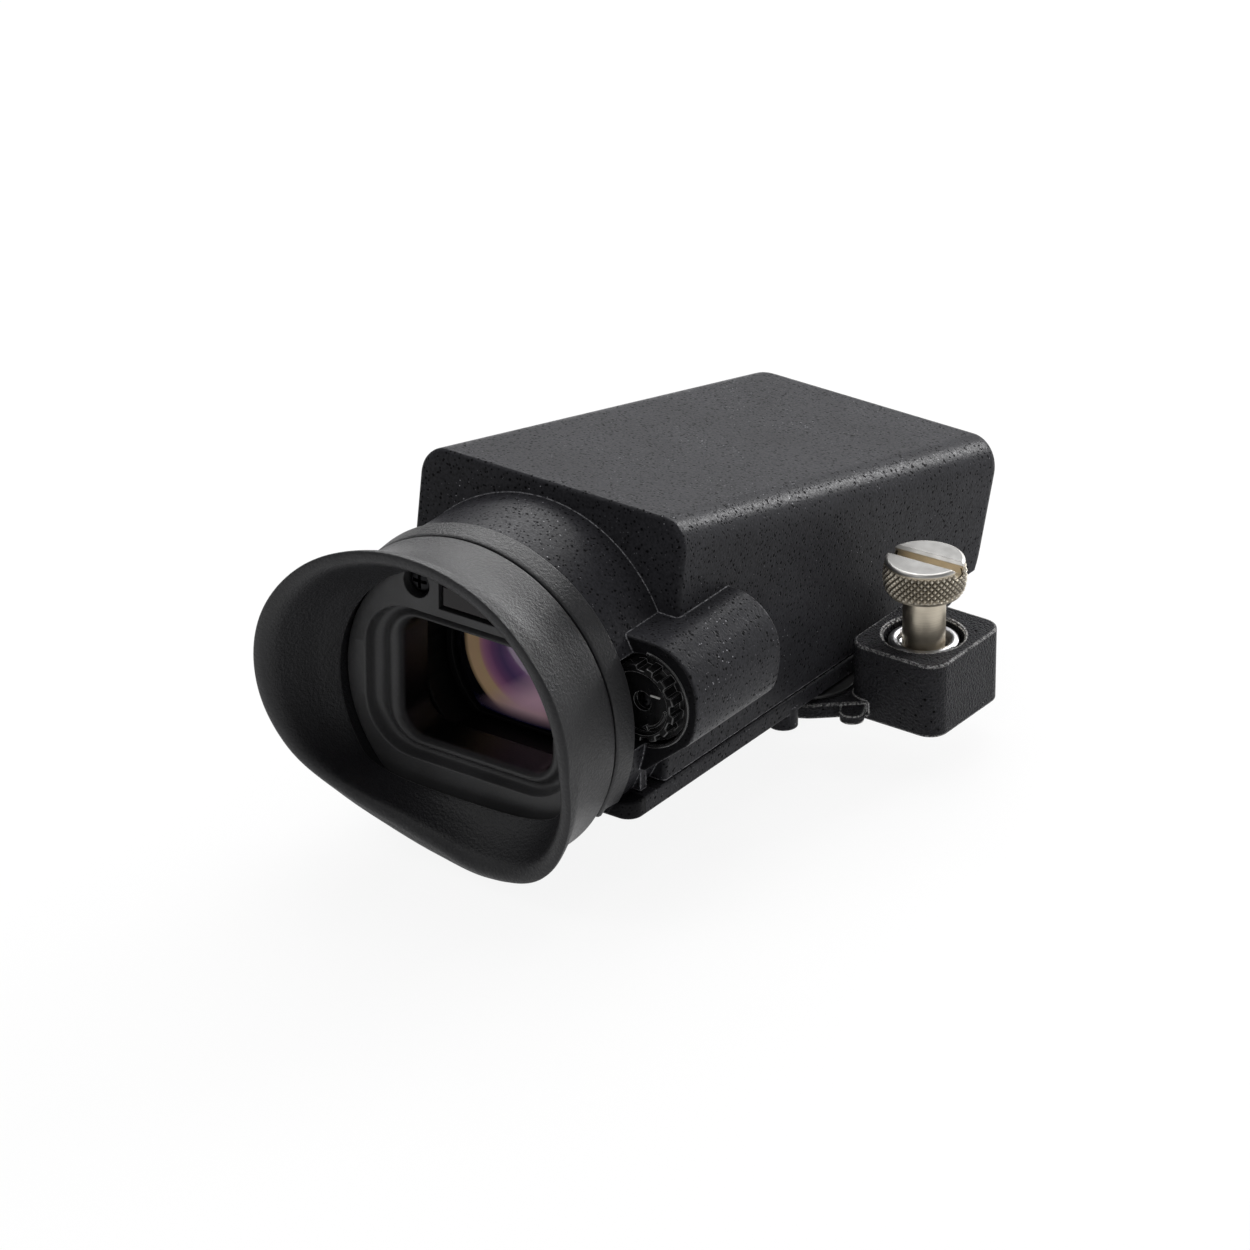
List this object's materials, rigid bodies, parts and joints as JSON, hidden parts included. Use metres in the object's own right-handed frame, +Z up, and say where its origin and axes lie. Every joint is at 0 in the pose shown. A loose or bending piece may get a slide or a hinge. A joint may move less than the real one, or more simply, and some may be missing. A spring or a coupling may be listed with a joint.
{
  "type": "electronic viewfinder",
  "caption": "Wedge-shaped electronic viewfinder with a turning rubber eyecup, a dioptre dial in a side pod and a swivelling mount block with a captive thumbscrew.",
  "frame": {"origin": "middle of the overall box, on the plane that the lowest point of the eyecup touches", "axes": "+Y forwards along the optical axis, away from the eye; +X to the user's right; +Z up"},
  "size_m": [0.0709, 0.1173, 0.0523],
  "materials": {
    "housing_paint": "satin, finely speckled",
    "block_paint": "satin, textured",
    "black_plastic": "matte",
    "gloss_black": "gloss",
    "rubber": "matte",
    "lens_glass": "coated",
    "sensor_window": "gloss, dark",
    "satin_nickel": "satin",
    "bright_steel": "bright",
    "black_steel": "black",
    "circuit_board": "satin",
    "flex_amber": "satin",
    "display_glass": "gloss, dark",
    "brass": "machined",
    "nylon": "matte"
  },
  "bodies": {
    "viewfinder": {"main_housing": "housing_paint", "bottom_cover": "housing_paint", "cover_screw_1": "black_steel", "cover_screw_2": "black_steel", "cover_screw_3": "black_steel", "cover_screw_4": "black_steel", "eyepiece_collar": "rubber", "eyepiece_frame": "black_plastic", "frame_screw_left": "satin_nickel", "frame_screw_right": "satin_nickel", "eye_sensor_window": "sensor_window", "eye_sensor_board": "circuit_board", "lens_barrel": "black_plastic", "dial_well": "gloss_black", "dial_bearing": "nylon", "light_tunnel": "black_plastic", "display_panel": "display_glass", "display_flex": "flex_amber", "main_board": "circuit_board", "signal_socket": "black_steel", "pivot_bolt": "bright_steel", "pivot_nut": "bright_steel", "friction_washer": "nylon"},
    "eyecup": {"eyecup": "rubber", "eyecup_ring": "black_plastic"},
    "dial": {"dioptre_dial": "gloss_black", "dial_screw": "satin_nickel", "dial_shaft": "bright_steel", "cam_drum": "brass"},
    "carriage": {"lens_carriage": "black_plastic", "follower_pin": "bright_steel", "lens_front": "lens_glass", "lens_middle": "lens_glass", "lens_rear": "lens_glass", "lens_retaining_ring": "black_plastic"},
    "arm": {"mount_arm": "block_paint", "screw_bushing": "bright_steel"},
    "clip": {"screw_clip": "black_steel"},
    "screw": {"thumb_screw": "satin_nickel"}
  },
  "joints": [
    {"name": "eyecup_turn", "type": "hinge", "parent": "viewfinder", "child": "eyecup", "pos_m": [-0.00675, -0.0444, 0.025], "axis": [0, 1, 0], "continuous": true},
    {"name": "dioptre_turn", "type": "hinge", "parent": "viewfinder", "child": "dial", "pos_m": [0.01775, -0.0372, 0.0288], "axis": [0, 1, 0], "range_deg": [-120, 120]},
    {"name": "lens_slide", "type": "slide", "parent": "viewfinder", "child": "carriage", "axis": [0, 1, 0], "range_m": [-0.00241, 0.00241]},
    {"name": "arm_swing", "type": "hinge", "parent": "viewfinder", "child": "arm", "pos_m": [0.01225, 0.0136, 0.009], "axis": [0, 0, 1], "range_deg": [-30, 0]},
    {"name": "screw_drop", "type": "slide", "parent": "arm", "child": "clip", "axis": [0, 0, -1], "range_m": [0, 0.007]},
    {"name": "screw_turn", "type": "hinge", "parent": "clip", "child": "screw", "pos_m": [0.02745, 0.0213, 0.0303], "axis": [0, 0, 1], "continuous": true}
  ],
  "couplings": [
    {"joint": "lens_slide", "follows": "dioptre_turn", "m_per_rad": 0.0011459}
  ]
}
